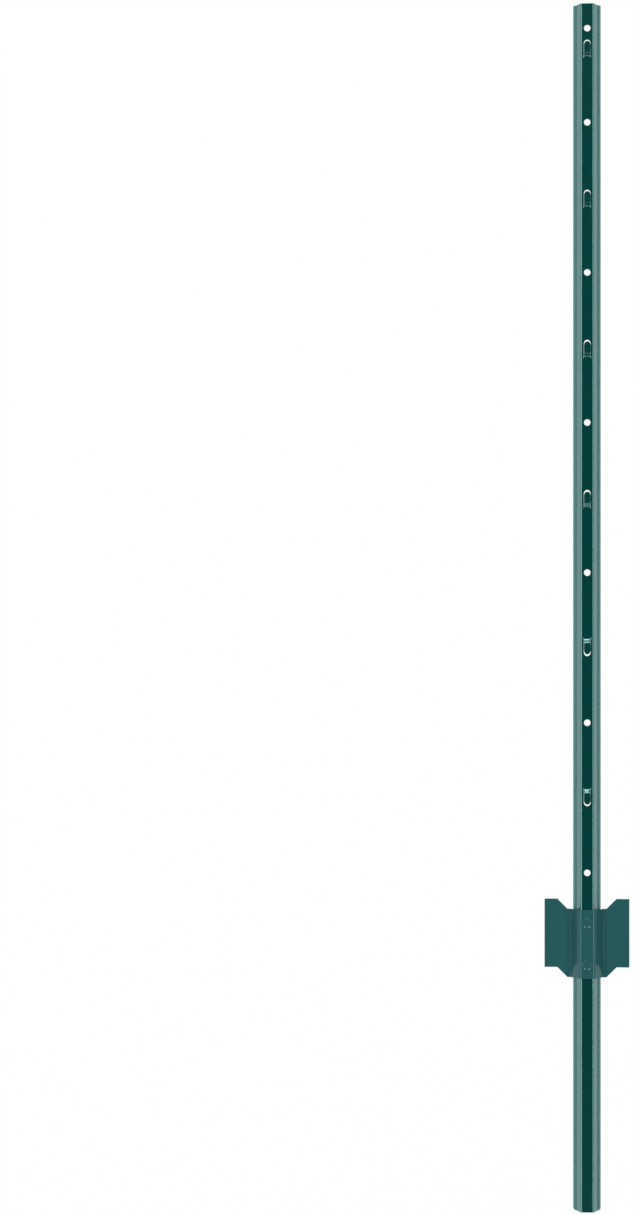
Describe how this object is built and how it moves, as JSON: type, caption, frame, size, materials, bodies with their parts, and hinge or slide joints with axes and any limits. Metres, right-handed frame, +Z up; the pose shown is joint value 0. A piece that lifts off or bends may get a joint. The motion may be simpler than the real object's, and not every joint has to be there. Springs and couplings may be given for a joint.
{
  "type": "u-channel fence post",
  "caption": "Steel u-channel fence post with punched holes and lanced wire hooks in its web and a riveted, winged anchor plate that keeps it from turning in the ground.",
  "frame": {"origin": "under the middle of the post's length, on the surface that the post lies on", "axes": "+Y along the post to its top end, +X across it, +Z up out of the web's front face"},
  "size_m": [0.0856, 1.2192, 0.0163],
  "materials": {
    "post_paint": "glossy dark green baked paint",
    "plate_paint": "satin dark green baked paint",
    "rivet_paint": "satin dark green baked paint over a steel rivet"
  },
  "bodies": {
    "root": {"u_channel_post": "post_paint", "anchor_plate": "plate_paint", "rivet_upper": "rivet_paint", "rivet_lower": "rivet_paint"}
  },
  "joints": []
}
